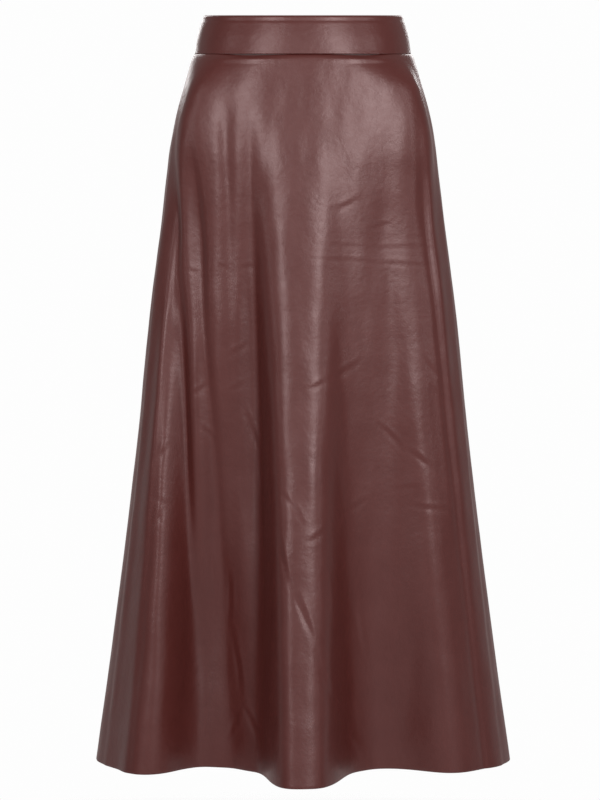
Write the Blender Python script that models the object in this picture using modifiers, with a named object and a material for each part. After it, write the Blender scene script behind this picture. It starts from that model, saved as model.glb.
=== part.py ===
"""Long flared skirt of soft leather, filled out as when it is worn.

The front is one flared panel, the back is two, and a shaped waistband in three
pieces closes them at the top. A concealed zip runs down the centre back from the
top of the band. Metres, +Z up, the front faces -Y. The origin is the middle of
the hollow at half the height of the waistband.

Every cloth piece is a grid read from one form: round the body by azimuth
(0 at the centre front, +90 at the +X side seam, 180 at the centre back) and down
it by height. The form is a rounded section at each height, with the folds and flutes
pushed in or out of it. Solidify then gives the grid its wall.
"""
import bmesh
import bpy
import numpy as np
from mathutils import Matrix

# Walls and seams
PANEL_WALL = 0.0013          # one layer of coated leather cloth
BAND_WALL = 0.0024           # band cloth folded double
TAPE_WALL = 0.0010
SEAM_GAP = 0.0003            # left open between two pieces that are sewn together
SEAM_LIP = 0.0020            # the panel rolls out this far under the band
SEAM_ROLL = 0.0020           # and does so within about this drop

# Heights at the side seams
BAND_TOP = 0.0242
BAND_SEAM = -0.0242
HEM = -0.9042
TOP_ROLL = 0.0040            # radius of the band's rolled top edge

# The waist dips towards the front; below LEVEL_HEIGHT the rings are level.
WAIST_TILT = 0.20            # drop for each metre of depth, at the top edge
LEVEL_HEIGHT = -0.457
BACK_EASE = 0.040            # depth in which the tilt dies out behind the side seams

# The form at each height, in metres; a square is the power of the front's or the back's
# rounded section.
SECTION_COLUMNS = ("height", "half_width", "front_depth", "back_depth",
                   "front_square", "back_square")
SECTIONS = (
    (0.0242, 0.1240, 0.0890, 0.0866, 2.20, 2.20),
    (0.0120, 0.1270, 0.0910, 0.0874, 2.20, 2.20),
    (0.0000, 0.1300, 0.0930, 0.0881, 2.25, 2.20),
    (-0.0242, 0.1348, 0.0965, 0.0896, 2.45, 2.20),
    (-0.0400, 0.1389, 0.0983, 0.0934, 2.90, 2.22),
    (-0.0629, 0.1448, 0.1010, 0.0990, 3.30, 2.25),
    (-0.1004, 0.1549, 0.1040, 0.1095, 3.45, 2.30),
    (-0.1379, 0.1623, 0.1058, 0.1185, 3.20, 2.35),
    (-0.1754, 0.1669, 0.1065, 0.1250, 2.80, 2.40),
    (-0.2317, 0.1739, 0.1065, 0.1305, 2.45, 2.40),
    (-0.3442, 0.1883, 0.1055, 0.1350, 2.30, 2.40),
    (-0.4942, 0.2034, 0.1055, 0.1380, 2.30, 2.35),
    (-0.6442, 0.2210, 0.1080, 0.1415, 2.30, 2.30),
    (-0.7942, 0.2407, 0.1125, 0.1465, 2.25, 2.25),
    (-0.9042, 0.2561, 0.1180, 0.1500, 2.20, 2.20),
)

# The folds. Each is a bell across the azimuth: its middle and its spreads are in degrees,
# and its push at the hem in metres, out of the form or, where negative, into it. The drop
# goes from 0 at the waist seam to 1 at the hem: the middle follows what is left of it to
# the power drift, and the push grows as the drop to the power growth.
FOLD_COLUMNS = ("at_waist", "at_hem", "drift", "spread_waist", "left_hem", "right_hem",
                "crown", "push", "growth")
FOLDS = (
    (-1.0, -1.2, 1.0, 30.0, 22.0, 22.0, 2.0, 0.008, 0.30),
    (-2.0, -0.4, 1.5, 14.0, 9.0, 10.4, 4.0, 0.068, 1.80),
    (-28.0, -26.3, 1.0, 12.0, 11.4, 14.5, 3.0, -0.050, 2.00),
    (-46.0, -41.4, 1.0, 9.0, 10.0, 9.0, 2.4, 0.020, 2.00),
    (24.0, 22.2, 1.0, 14.0, 11.8, 16.9, 2.0, -0.044, 2.20),
    (46.0, 40.9, 1.0, 9.0, 8.0, 10.1, 2.0, 0.018, 2.00),
    (-56.0, -50.0, 1.0, 5.0, 8.0, 6.0, 2.0, 0.010, 1.00),
    (112.0, 122.0, 1.0, 8.0, 13.0, 13.0, 2.0, -0.022, 1.20),
    (138.0, 148.0, 1.0, 8.0, 11.0, 13.0, 2.0, 0.036, 1.50),
    (180.0, 181.0, 1.0, 12.0, 12.0, 11.0, 2.0, -0.030, 1.70),
    (218.0, 209.0, 1.0, 8.0, 12.0, 11.0, 2.0, 0.034, 1.50),
    (250.0, 238.0, 1.0, 8.0, 12.0, 13.0, 2.0, -0.024, 1.20),
)

# The flutes: narrower folds. Each starts at the drop top and reaches its push at the drop
# full, then changes to push_hem at the hem. Its middle, in degrees, drifts as a fold's
# does. Its spreads to the left and to the right are in metres along the cloth, at the
# waist and at the hem, so that a flute can have one steep wall and one gentle one. A
# crown of 2 is a bell; less is sharper at its middle, and more is flatter.
FLUTE_COLUMNS = ("top", "full", "at_top", "at_hem", "drift", "left", "right",
                 "left_hem", "right_hem", "crown", "push", "push_hem")
FLUTES = (
    (0.05, 0.75, -62.5, -35.5, 1.5, 0.016, 0.008, 0.014, 0.018, 1.8, -0.0300, -0.0120),
    (0.05, 0.30, -49.0, -21.0, 1.1, 0.020, 0.007, 0.014, 0.010, 1.8, -0.0080, -0.0020),
    (0.03, 0.62, -24.0, -11.0, 1.5, 0.020, 0.007, 0.014, 0.011, 1.8, -0.0220, -0.0100),
    (0.36, 0.78, -28.0, -27.0, 1.0, 0.030, 0.028, 0.030, 0.028, 2.0, -0.0160, 0.0),
    (0.00, 0.06, -49.0, -60.0, 1.0, 0.014, 0.020, 0.012, 0.014, 2.0, 0.0050, 0.0010),
    (0.10, 0.32, -66.0, -66.0, 1.0, 0.010, 0.022, 0.010, 0.022, 2.0, 0.0065, 0.0020),
    (0.00, 0.05, 51.0, 61.0, 1.0, 0.028, 0.014, 0.018, 0.014, 2.0, 0.0072, 0.0010),
    (0.10, 0.30, 66.0, 66.0, 1.0, 0.030, 0.010, 0.030, 0.010, 2.0, 0.0070, 0.0020),
)
FOLLOWED = 3                 # the grid's columns run along this many flutes, the first ones

# Grids
FRONT_COLUMNS = 66
BACK_COLUMNS = 25
PANEL_ROWS = 21
ROW_CROWDING = 1.45          # above 1, a panel's rows lie closer together at the hips
LIP_DROPS = (0.0, 0.5, 1.2, 2.5, 5.0)      # the first rows, in seam rolls
EDGE_CELL = 0.0045           # the first and last column of a panel, along the hem
ARC_SAMPLES = 1441
BAND_DROPS = (0.0, 0.25, 0.5, 0.75, 1.0)   # rows between the seam and the top roll
ROLL_ANGLES = (30.0, 60.0, 88.0)

# Concealed zip at the centre back
ZIP_TOP = 0.0170
ZIP_BOTTOM = -0.1950
TAPE_WIDTH = 0.0120
TAPE_BLEND = 0.0350          # drop under the band in which the tape meets the panel
SLIDER_HEIGHT = 0.0110       # height of the slider's middle
SLIDER_SIZE = (0.0070, 0.0022, 0.0100)
SLIDER_EDGE = 0.0006
LUG_WIDTH = 0.0016
LUG_RADIUS = 0.0023
LUG_FLARE = 1.5              # the lug's foot is this many times as tall as its crown
EYE_RADIUS = 0.0013
PIN_STANDOFF = 0.0028        # pull tab's axis, out from the band's face
NOTCH_HALF = 0.0012          # half the parting of the band's edges at the slider
NOTCH_DROP = 0.0075          # the parting starts this far under the slider's middle
TAB_WALL = 0.0012
TAB_WIDTH = 0.0068
TAB_LENGTH = 0.0190
TAB_BAR = 0.0012
TAB_ARM = 0.0011
TAB_SLOT = 0.0034
TAB_WAIST = 0.0008           # the tab's head is this much narrower at each side than its end
TAB_EDGE = 0.0002
ROUND_SIDES = 12             # sides of a half round outline, and of the eye

LEATHER = ((0.150, 0.045, 0.038, 1.0), 0.42, 0.0)
TAPE_CLOTH = ((0.060, 0.020, 0.018, 1.0), 0.85, 0.0)
ZIP_METAL = ((0.120, 0.060, 0.050, 1.0), 0.35, 0.8)


def start_collection(name):
    """Empty the scene and return a new collection for the object's parts."""
    for old in list(bpy.data.objects):
        bpy.data.objects.remove(old, do_unlink=True)
    collection = bpy.data.collections.new(name)
    bpy.context.scene.collection.children.link(collection)
    return collection


def set_finish(obj, finish):
    """Give the object its own Principled material."""
    colour, roughness, metallic = finish
    material = bpy.data.materials.new(obj.name)
    material.use_nodes = True
    shader = material.node_tree.nodes["Principled BSDF"]
    shader.inputs["Base Color"].default_value = colour
    shader.inputs["Roughness"].default_value = roughness
    shader.inputs["Metallic"].default_value = metallic
    obj.data.materials.clear()
    obj.data.materials.append(material)


def column(table, columns, name):
    """One named column of a table, as an array."""
    return np.array([row[columns.index(name)] for row in table])


def smooth_between(knots, values, at):
    """Cubic curve through the knots, whose slopes are the table's own."""
    order = np.argsort(knots)
    knots, values = knots[order], values[order]
    slopes = np.gradient(values, knots)
    at = np.clip(at, knots[0], knots[-1])
    low = np.clip(np.searchsorted(knots, at) - 1, 0, len(knots) - 2)
    span = knots[low + 1] - knots[low]
    part = (at - knots[low]) / span
    ends = values[low] * (1 + 2 * part) * (1 - part) ** 2
    ends = ends + values[low + 1] * part ** 2 * (3 - 2 * part)
    bends = slopes[low] * part * (1 - part) ** 2 - slopes[low + 1] * part ** 2 * (1 - part)
    return ends + bends * span


def of_section(name, height):
    """A column of the section table, read at any height."""
    heights = column(SECTIONS, SECTION_COLUMNS, "height")
    return smooth_between(heights, column(SECTIONS, SECTION_COLUMNS, name), height)


def ease(part):
    """0 below 0, 1 above 1, and a smooth step between."""
    part = np.clip(part, 0.0, 1.0)
    return part * part * (3 - 2 * part)


def around(azimuth, middle):
    """Degrees from the middle, from -180 to 180."""
    return (azimuth - middle + 180.0) % 360.0 - 180.0


def drop_of(height):
    """0 at the waist seam and 1 at the hem."""
    return np.clip((BAND_SEAM - height) / (BAND_SEAM - HEM), 0.0, 1.0)


def flute_middle(flute, drop):
    """Azimuth of a flute's middle: its hem's, plus its lean times what is left ^ drift."""
    left = np.clip((1 - drop) / (1 - flute["top"]), 0.0, 1.0)
    return flute["at_hem"] + (flute["at_top"] - flute["at_hem"]) * left ** flute["drift"]


def followed(azimuth, height):
    """Azimuths of a grid whose columns lean as the deep flutes do.

    At half the drop they are the ones given. Elsewhere each is moved by as much as the
    flutes have moved, shared between neighbouring flutes and the seams in proportion.
    """
    flutes = [dict(zip(FLUTE_COLUMNS, row)) for row in FLUTES[:FOLLOWED]]
    middles = [flute_middle(flute, 0.5) for flute in flutes]
    knots = np.array([-90.0, *middles, 30.0, 360.0])
    moves = [flute_middle(flute, drop_of(height)) - middle
             for flute, middle in zip(flutes, middles)]
    total = np.zeros((len(height), len(azimuth)))
    for place, move in enumerate(moves, start=1):
        share = np.interp(azimuth, knots, np.arange(len(knots)) == place)
        total = total + move[:, np.newaxis] * share
    return azimuth + total


def fold_push(azimuth, height):
    """Sum of the folds and flutes.

    A fold is push * drop ^ growth * exp(-|degrees away / spread| ^ crown). A flute is
    the same bell of the metres away, times a push eased in from its top to its full drop.
    """
    drop = drop_of(height)
    total = np.zeros_like(drop)
    for row in FOLDS:
        fold = dict(zip(FOLD_COLUMNS, row))
        lean = fold["at_waist"] - fold["at_hem"]
        away = around(azimuth, fold["at_hem"] + lean * (1 - drop) ** fold["drift"])
        spread_hem = np.where(away < 0, fold["left_hem"], fold["right_hem"])
        spread = fold["spread_waist"] + (spread_hem - fold["spread_waist"]) * drop
        bell = np.exp(-np.abs(away / spread) ** fold["crown"])
        total = total + fold["push"] * drop ** fold["growth"] * bell
    radius = (of_section("half_width", height) + of_section("front_depth", height)) / 2
    for row in FLUTES:
        flute = dict(zip(FLUTE_COLUMNS, row))
        away = np.radians(around(azimuth, flute_middle(flute, drop))) * radius
        left_side = away < 0
        spread = np.where(left_side, flute["left"], flute["right"])
        spread = spread + (np.where(left_side, flute["left_hem"], flute["right_hem"]) - spread) * drop
        push = flute["push"] * ease((drop - flute["top"]) / (flute["full"] - flute["top"]))
        last = ease((drop - flute["full"]) / (1 - flute["full"]))
        push = push + (flute["push_hem"] - flute["push"]) * last
        total = total + push * np.exp(-np.abs(away / spread) ** flute["crown"])
    return total


def form(azimuth, height, out=0.0):
    """Points of the form, moved out by a distance along the section's normal.

    The section is a rounded one: |x / width| and |y / depth|, each to the section's
    power, add up to 1. The azimuth is the direction in which a point lies once the
    width and the depth are both taken as 1. The tilt then lowers the front of each
    ring.
    """
    azimuth, height, out = np.broadcast_arrays(azimuth, height, out)
    across = np.sin(np.radians(azimuth))
    ahead = np.cos(np.radians(azimuth))
    width = of_section("half_width", height)
    at_front = ahead > 0
    depth = np.where(at_front, of_section("front_depth", height), of_section("back_depth", height))
    power = np.where(at_front, of_section("front_square", height), of_section("back_square", height))
    reach = (np.abs(across) ** power + np.abs(ahead) ** power) ** (-1 / power)
    across, ahead = across * reach, ahead * reach
    normal_x = np.sign(across) * np.abs(across) ** (power - 1) / width
    normal_y = -np.sign(ahead) * np.abs(ahead) ** (power - 1) / depth
    push = (fold_push(azimuth, height) + out) / np.hypot(normal_x, normal_y)
    x = width * across + normal_x * push
    y = -depth * ahead + normal_y * push
    tilt = WAIST_TILT * np.clip((height - LEVEL_HEIGHT) / (BAND_TOP - LEVEL_HEIGHT), 0.0, 1.0)
    z = height + tilt * np.where(y < 0, y, y * np.exp(-np.abs(y) / BACK_EASE))
    return np.stack((x, y, z), axis=-1)


def seam_azimuths(start, end, count):
    """Azimuths whose points lie evenly along the hem, with a narrow cell at each seam."""
    azimuth = np.linspace(start, end, ARC_SAMPLES)
    points = form(azimuth, np.full_like(azimuth, HEM))
    steps = np.linalg.norm(np.diff(points, axis=0), axis=1)
    length = np.concatenate(([0.0], np.cumsum(steps)))
    inner = np.linspace(EDGE_CELL, length[-1] - EDGE_CELL, count)
    places = np.concatenate(([0.0], inner, [length[-1]]))
    return np.interp(places, length, azimuth)


def panel_heights():
    """Rows of a panel: close together under the band, wider towards the hem."""
    top = BAND_SEAM - SEAM_GAP / 2
    lip_rows = top - SEAM_ROLL * np.array(LIP_DROPS)
    share = np.linspace(0.0, 1.0, PANEL_ROWS)[1:] ** ROW_CROWDING
    return np.concatenate((lip_rows, lip_rows[-1] + (HEM - lip_rows[-1]) * share))


def panel_points(azimuth):
    """Outer face of a panel, with the small roll that comes out from under the band."""
    heights = panel_heights()
    azimuth = followed(azimuth, heights)
    height = np.broadcast_to(heights[:, np.newaxis], azimuth.shape)
    drop = BAND_SEAM - SEAM_GAP / 2 - height
    return form(azimuth, height, SEAM_LIP * (1 - np.exp(-drop / SEAM_ROLL)))


def band_heights():
    """Rows of the band from its seam up to where its top edge starts to roll in."""
    start = BAND_SEAM + SEAM_GAP / 2
    return start + (BAND_TOP - TOP_ROLL - start) * np.array(BAND_DROPS)


def band_points(azimuth):
    """Outer face of the band, which curls in over its top edge in a quarter round."""
    wall = band_heights()
    roll_start = wall[-1]
    angles = np.radians(np.array(ROLL_ANGLES))
    rise = np.concatenate((wall, roll_start + TOP_ROLL * np.sin(angles)))
    inward = np.concatenate((np.zeros_like(wall), TOP_ROLL * (1 - np.cos(angles))))
    return form(azimuth[np.newaxis, :], rise[:, np.newaxis], -inward[:, np.newaxis])


def cloth_object(name, points, wall, collection, finish):
    """Object of one cloth piece: a grid of points whose wall Solidify lays inwards."""
    rows, columns = points.shape[:2]
    index = np.arange(rows * columns).reshape(rows, columns)
    corners = (index[:-1, :-1], index[1:, :-1], index[1:, 1:], index[:-1, 1:])
    faces = np.stack(corners, axis=-1).reshape(-1, 4)
    mesh = bpy.data.meshes.new(name)
    mesh.from_pydata(points.reshape(-1, 3).tolist(), [], faces.tolist())
    mesh.shade_smooth()
    obj = bpy.data.objects.new(name, mesh)
    collection.objects.link(obj)
    solidify = obj.modifiers.new("wall", "SOLIDIFY")
    solidify.thickness = wall
    solidify.offset = -1.0
    set_finish(obj, finish)
    return obj


def parted(points, at_column, side):
    """Part the band's edge beside the slider, from a little under it to the top."""
    rise = (points[:, at_column, 2] - (SLIDER_HEIGHT - NOTCH_DROP)) / (NOTCH_DROP / 2)
    shift = (NOTCH_HALF - SEAM_GAP / 2) * ease(rise)
    points[:, at_column, 0] += side * shift
    return points


def make_cloth(collection):
    """The three panels and the three pieces of the band."""
    shift_y = np.array((0.0, SEAM_GAP / 2, 0.0))
    shift_x = np.array((SEAM_GAP / 2, 0.0, 0.0))
    front = seam_azimuths(-90.0, 90.0, FRONT_COLUMNS)
    right = seam_azimuths(90.0, 180.0, BACK_COLUMNS)
    left = seam_azimuths(180.0, 270.0, BACK_COLUMNS)
    for name, points, wall in (
        ("front_panel", panel_points(front) - shift_y, PANEL_WALL),
        ("back_panel_right", panel_points(right) + shift_y + shift_x, PANEL_WALL),
        ("back_panel_left", panel_points(left) + shift_y - shift_x, PANEL_WALL),
    ):
        cloth_object(name, points, wall, collection, LEATHER)
    for name, points in (
        ("waistband_front", band_points(front) - shift_y),
        ("waistband_back_right", parted(band_points(right) + shift_y + shift_x, -1, 1)),
        ("waistband_back_left", parted(band_points(left) + shift_y - shift_x, 0, -1)),
    ):
        cloth_object(name, points[::-1], BAND_WALL, collection, LEATHER)


def tape_points(side):
    """One zip tape, just inside the band and the back panel, on their own rows.

    It is as wide as the tape, and keeps clear of the slider beside it.
    """
    on_band = band_heights()[::-1]
    on_panel = panel_heights()[len(LIP_DROPS) - 1:]
    on_band = on_band[on_band < ZIP_TOP]
    on_panel = on_panel[on_panel > ZIP_BOTTOM]
    by_slider = SLIDER_HEIGHT - SLIDER_SIZE[2] * np.array((0.75, 1.0))
    height = np.sort(np.concatenate(([ZIP_TOP], on_band, by_slider, on_panel, [ZIP_BOTTOM])))[::-1]
    beside = ease((height - by_slider[1]) / (by_slider[0] - by_slider[1]))
    near = SEAM_GAP / 2 + beside * (SLIDER_SIZE[0] / 2 + SEAM_GAP)
    share = np.array((0.0, 0.5, 1.0))
    across = near[:, np.newaxis] + (TAPE_WIDTH - near[:, np.newaxis]) * share
    width = of_section("half_width", height)[:, np.newaxis]
    power = of_section("back_square", height)[:, np.newaxis]
    share_x = across / width
    share_y = (1 - share_x ** power) ** (1 / power)
    azimuth = 180.0 - np.degrees(np.arctan2(share_x, share_y))
    under_band = -BAND_WALL - SEAM_GAP
    under_panel = SEAM_LIP - PANEL_WALL - SEAM_GAP
    blend = ease((BAND_SEAM - height) / TAPE_BLEND)[:, np.newaxis]
    out = under_band + (under_panel - under_band) * blend
    points = form(azimuth, height[:, np.newaxis], out)
    points[..., 1] += SEAM_GAP / 2
    return points[:, ::-1] if side > 0 else points * np.array((-1.0, 1.0, 1.0))


def flat_outline(name, loops, half_wall, collection):
    """Mesh object of a flat outline in the local XY plane, holes included, with a wall."""
    curve = bpy.data.curves.new(name, "CURVE")
    curve.dimensions = "2D"
    curve.fill_mode = "BOTH"
    curve.extrude = half_wall
    for loop in loops:
        spline = curve.splines.new("POLY")
        spline.points.add(len(loop) - 1)
        for point, (x, y) in zip(spline.points, loop):
            point.co = (x, y, 0.0, 1.0)
        spline.use_cyclic_u = True
    source = bpy.data.objects.new(name + "_outline", curve)
    collection.objects.link(source)
    bpy.context.view_layer.update()
    evaluated = source.evaluated_get(bpy.context.evaluated_depsgraph_get())
    mesh = bpy.data.meshes.new_from_object(evaluated)
    bpy.data.objects.remove(source, do_unlink=True)
    welded = bmesh.new()
    welded.from_mesh(mesh)
    bmesh.ops.remove_doubles(welded, verts=welded.verts, dist=0.00001)
    bmesh.ops.recalc_face_normals(welded, faces=welded.faces)
    welded.to_mesh(mesh)
    welded.free()
    obj = bpy.data.objects.new(name, mesh)
    collection.objects.link(obj)
    return obj


def arc(centre, radius, start, end):
    """Points of an arc, angles in degrees from the local X axis."""
    angles = np.radians(np.linspace(start, end, ROUND_SIDES + 1))
    return [(centre[0] + radius * np.cos(a), centre[1] + radius * np.sin(a)) for a in angles]


def pin_place():
    """Where the pull tab's axis crosses the centre back, and the band's inner face there."""
    heights = SLIDER_HEIGHT + SLIDER_SIZE[2] * np.array((-0.5, 0.0, 0.5))
    face = form(np.full(3, 180.0), heights)
    inner = face[:, 1].min() - BAND_WALL - SEAM_GAP
    return (0.0, face[1, 1] + PIN_STANDOFF, face[1, 2]), inner


def make_slider(collection, cutters):
    """Slider: a plate behind the band, and a lug with an eye through the parted edges."""
    (_, pin_y, pin_z), inner = pin_place()
    bpy.ops.mesh.primitive_cube_add(size=1.0, location=(0.0, inner - SLIDER_SIZE[1] / 2, pin_z))
    slider = bpy.context.active_object
    slider.name = "zip_slider"
    slider.data.transform(Matrix.Diagonal((*SLIDER_SIZE, 1.0)))
    for old in list(slider.users_collection):
        old.objects.unlink(slider)
    collection.objects.link(slider)
    neck = pin_y - (inner - SLIDER_SIZE[1] / 2)
    foot = LUG_RADIUS * LUG_FLARE
    outline = arc((0.0, 0.0), LUG_RADIUS, 90.0, -90.0) + [(-neck, -foot), (-neck, foot)]
    eye = arc((0.0, 0.0), EYE_RADIUS, 0.0, 360.0)[:-1]
    lug = flat_outline("slider_lug", (outline, eye), LUG_WIDTH / 2, cutters)
    lug.rotation_euler = (np.pi / 2, 0.0, np.pi / 2)
    lug.location = (0.0, pin_y, pin_z)
    lug.hide_render = True
    lug.display_type = "WIRE"
    bevel = slider.modifiers.new("edges", "BEVEL")
    bevel.width = SLIDER_EDGE
    bevel.segments = 2
    union = slider.modifiers.new("lug", "BOOLEAN")
    union.operation = "UNION"
    union.object = lug
    set_finish(slider, ZIP_METAL)


def make_pull(collection):
    """Pull tab: a drop-shaped plate that hangs from the bar through the slider's eye."""
    half_bar = TAB_BAR / 2
    shoulder = TAB_WIDTH / 2 - TAB_WAIST
    slot_half = shoulder - TAB_ARM
    end_radius = TAB_WIDTH / 2
    end = (0.0, -TAB_LENGTH + end_radius)
    outer = [(shoulder, half_bar), (-shoulder, half_bar), (-shoulder, -TAB_SLOT)]
    outer += arc(end, end_radius, 190.0, 350.0) + [(shoulder, -TAB_SLOT)]
    slot = [(slot_half, -half_bar), (slot_half, -TAB_SLOT)]
    slot += [(-slot_half, -TAB_SLOT), (-slot_half, -half_bar)]
    pull = flat_outline("zip_pull", (outer, slot), TAB_WALL / 2, collection)
    pull.location, _ = pin_place()
    pull.rotation_euler = (np.pi / 2, 0.0, 0.0)
    bevel = pull.modifiers.new("edges", "BEVEL")
    bevel.width = TAB_EDGE
    bevel.segments = 2
    set_finish(pull, ZIP_METAL)


def main():
    """Build every piece of the skirt."""
    collection = start_collection("leather_skirt")
    cutters = bpy.data.collections.new("cutters")
    bpy.context.scene.collection.children.link(cutters)
    make_cloth(collection)
    for name, side in (("zip_tape_right", 1), ("zip_tape_left", -1)):
        cloth_object(name, tape_points(side), TAPE_WALL, collection, TAPE_CLOTH)
    make_slider(collection, cutters)
    make_pull(collection)


main()
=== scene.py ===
"""Looks of a long flared skirt of soft coated leather, filled out as when it is worn.

Every cloth piece is a surface of two parameters, the azimuth round the body (0 at the
centre front, +90 at the +X side seam, 180 at the centre back) and the height. All are
read from one form: a rounded section at each height, with folds, flutes and creases
pushed in or out of it along the section's normal. Lengths are in metres and angles in
degrees unless a comment says otherwise. +Z is up and the front faces -Y.
"""

import bpy
import numpy as np
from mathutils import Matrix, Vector


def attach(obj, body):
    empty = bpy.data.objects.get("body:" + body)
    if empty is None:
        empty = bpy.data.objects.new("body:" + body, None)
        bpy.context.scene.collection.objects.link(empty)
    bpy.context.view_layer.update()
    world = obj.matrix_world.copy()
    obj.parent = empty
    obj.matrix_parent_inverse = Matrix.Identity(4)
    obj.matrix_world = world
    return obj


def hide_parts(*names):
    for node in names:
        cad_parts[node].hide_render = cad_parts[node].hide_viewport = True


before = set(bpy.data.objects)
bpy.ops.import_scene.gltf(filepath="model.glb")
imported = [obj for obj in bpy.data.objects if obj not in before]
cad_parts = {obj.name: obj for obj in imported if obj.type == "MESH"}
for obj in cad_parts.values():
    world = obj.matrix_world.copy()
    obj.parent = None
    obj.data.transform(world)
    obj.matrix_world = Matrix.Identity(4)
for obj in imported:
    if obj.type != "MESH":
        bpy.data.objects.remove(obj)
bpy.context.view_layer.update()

# Walls and gaps
PANEL_WALL = 0.0013          # one layer of coated cloth
BAND_WALL = 0.0024           # the band's cloth, folded double
TAPE_WALL = 0.0009
SEAM_GAP = 0.00002           # the sewn edges meet
CLEARANCE = 0.0003           # between pieces that lie on one another

# Heights at the side seams
BAND_TOP = 0.0242
BAND_SEAM = -0.0242
HEM = -0.9042

# The waist dips towards the front; below LEVEL_HEIGHT the rings are level.
WAIST_TILT = 0.20            # of a point's distance in front of the side seams
LEVEL_HEIGHT = -0.457
BACK_EASE = 0.040            # distance behind them over which the tilt dies out

# The form at each height; a square is the power of the front's or the back's rounded
# section.
SECTION_COLUMNS = ("height", "half_width", "front_depth", "back_depth",
                   "front_square", "back_square")
SECTIONS = (
    (0.0242, 0.1240, 0.0890, 0.0866, 2.20, 2.20),
    (0.0120, 0.1270, 0.0910, 0.0874, 2.20, 2.20),
    (0.0000, 0.1300, 0.0930, 0.0881, 2.25, 2.20),
    (-0.0242, 0.1348, 0.0965, 0.0896, 2.45, 2.20),
    (-0.0400, 0.1389, 0.0983, 0.0934, 2.90, 2.22),
    (-0.0629, 0.1448, 0.1010, 0.0990, 3.30, 2.25),
    (-0.1004, 0.1549, 0.1040, 0.1095, 3.45, 2.30),
    (-0.1379, 0.1623, 0.1058, 0.1185, 3.20, 2.35),
    (-0.1754, 0.1669, 0.1065, 0.1250, 2.80, 2.40),
    (-0.2317, 0.1739, 0.1065, 0.1305, 2.45, 2.40),
    (-0.3442, 0.1883, 0.1055, 0.1350, 2.30, 2.40),
    (-0.4942, 0.2034, 0.1055, 0.1380, 2.30, 2.35),
    (-0.6442, 0.2210, 0.1080, 0.1415, 2.30, 2.30),
    (-0.7942, 0.2407, 0.1125, 0.1465, 2.25, 2.25),
    (-0.9042, 0.2561, 0.1180, 0.1500, 2.20, 2.20),
)

# The folds. Each is a bell across the azimuth: its middle and its spreads are in degrees,
# and its push at the hem in metres, out of the form or, where negative, into it. The drop
# goes from 0 at the waist seam to 1 at the hem: the middle follows what is left of it to
# the power drift, and the push grows as the drop to the power growth.
FOLD_COLUMNS = ("at_waist", "at_hem", "drift", "spread_waist", "left_hem", "right_hem",
                "crown", "push", "growth")
FOLDS = (
    (-1.0, -1.2, 1.0, 30.0, 22.0, 22.0, 2.0, 0.008, 0.30),
    (-2.0, -0.4, 1.5, 14.0, 9.0, 10.4, 4.0, 0.068, 1.80),
    (-28.0, -26.3, 1.0, 12.0, 11.4, 14.5, 3.0, -0.050, 2.00),
    (-46.0, -41.4, 1.0, 9.0, 10.0, 9.0, 2.4, 0.020, 2.00),
    (24.0, 22.2, 1.0, 14.0, 11.8, 16.9, 2.0, -0.044, 2.20),
    (46.0, 40.9, 1.0, 9.0, 8.0, 10.1, 2.0, 0.018, 2.00),
    (-56.0, -50.0, 1.0, 5.0, 8.0, 6.0, 2.0, 0.010, 1.00),
    (112.0, 122.0, 1.0, 8.0, 13.0, 13.0, 2.0, -0.022, 1.20),
    (138.0, 148.0, 1.0, 8.0, 11.0, 13.0, 2.0, 0.036, 1.50),
    (180.0, 181.0, 1.0, 12.0, 12.0, 11.0, 2.0, -0.030, 1.70),
    (218.0, 209.0, 1.0, 8.0, 12.0, 11.0, 2.0, 0.034, 1.50),
    (250.0, 238.0, 1.0, 8.0, 12.0, 13.0, 2.0, -0.024, 1.20),
)

# The flutes: narrower folds. Each starts at the drop top and reaches its push at the drop
# full, then changes to push_hem at the hem. Its middle, in degrees, drifts as a fold's
# does. Its spreads to the left and to the right are in metres along the cloth, at the
# waist and at the hem, so that a flute can have one steep wall and one gentle one. A
# crown of 2 is a bell; less is sharper at its middle, and more is flatter.
FLUTE_COLUMNS = ("top", "full", "at_top", "at_hem", "drift", "left", "right",
                 "left_hem", "right_hem", "crown", "push", "push_hem")
FLUTES = (
    (0.05, 0.75, -62.5, -35.5, 1.5, 0.016, 0.008, 0.009, 0.018, 1.8, -0.0300, -0.0120),
    (0.05, 0.30, -49.0, -21.0, 1.1, 0.020, 0.007, 0.014, 0.010, 1.8, -0.0080, -0.0020),
    (0.03, 0.62, -24.0, -11.0, 1.5, 0.020, 0.007, 0.014, 0.011, 1.8, -0.0220, -0.0100),
    (0.36, 0.78, -28.0, -27.0, 1.0, 0.030, 0.028, 0.030, 0.028, 2.0, -0.0160, 0.0),
    (0.04, 0.14, -32.5, -20.0, 1.2, 0.007, 0.007, 0.008, 0.008, 2.0, -0.0022, 0.0),
    (0.00, 0.06, -49.0, -60.0, 1.0, 0.014, 0.020, 0.012, 0.014, 2.0, 0.0050, 0.0010),
    (0.10, 0.32, -66.0, -66.0, 1.0, 0.010, 0.022, 0.010, 0.022, 2.0, 0.0065, 0.0020),
    (0.00, 0.05, 51.0, 61.0, 1.0, 0.028, 0.014, 0.018, 0.014, 2.0, 0.0072, 0.0010),
    (0.10, 0.30, 66.0, 66.0, 1.0, 0.030, 0.010, 0.030, 0.010, 2.0, 0.0070, 0.0020),
    (0.08, 0.25, 32.0, 33.0, 1.0, 0.018, 0.013, 0.018, 0.016, 2.0, -0.0028, -0.0010),
    (0.05, 0.14, 48.0, 48.0, 1.0, 0.006, 0.006, 0.007, 0.007, 2.0, -0.0010, 0.0),
    (0.15, 0.26, -55.6, -48.5, 1.0, 0.0042, 0.0060, 0.0050, 0.0070, 2.0, -0.0024, -0.0015),
    (0.12, 0.24, 49.5, 55.8, 2.0, 0.0060, 0.0044, 0.0070, 0.0050, 2.0, -0.0027, -0.0012),
)

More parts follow.
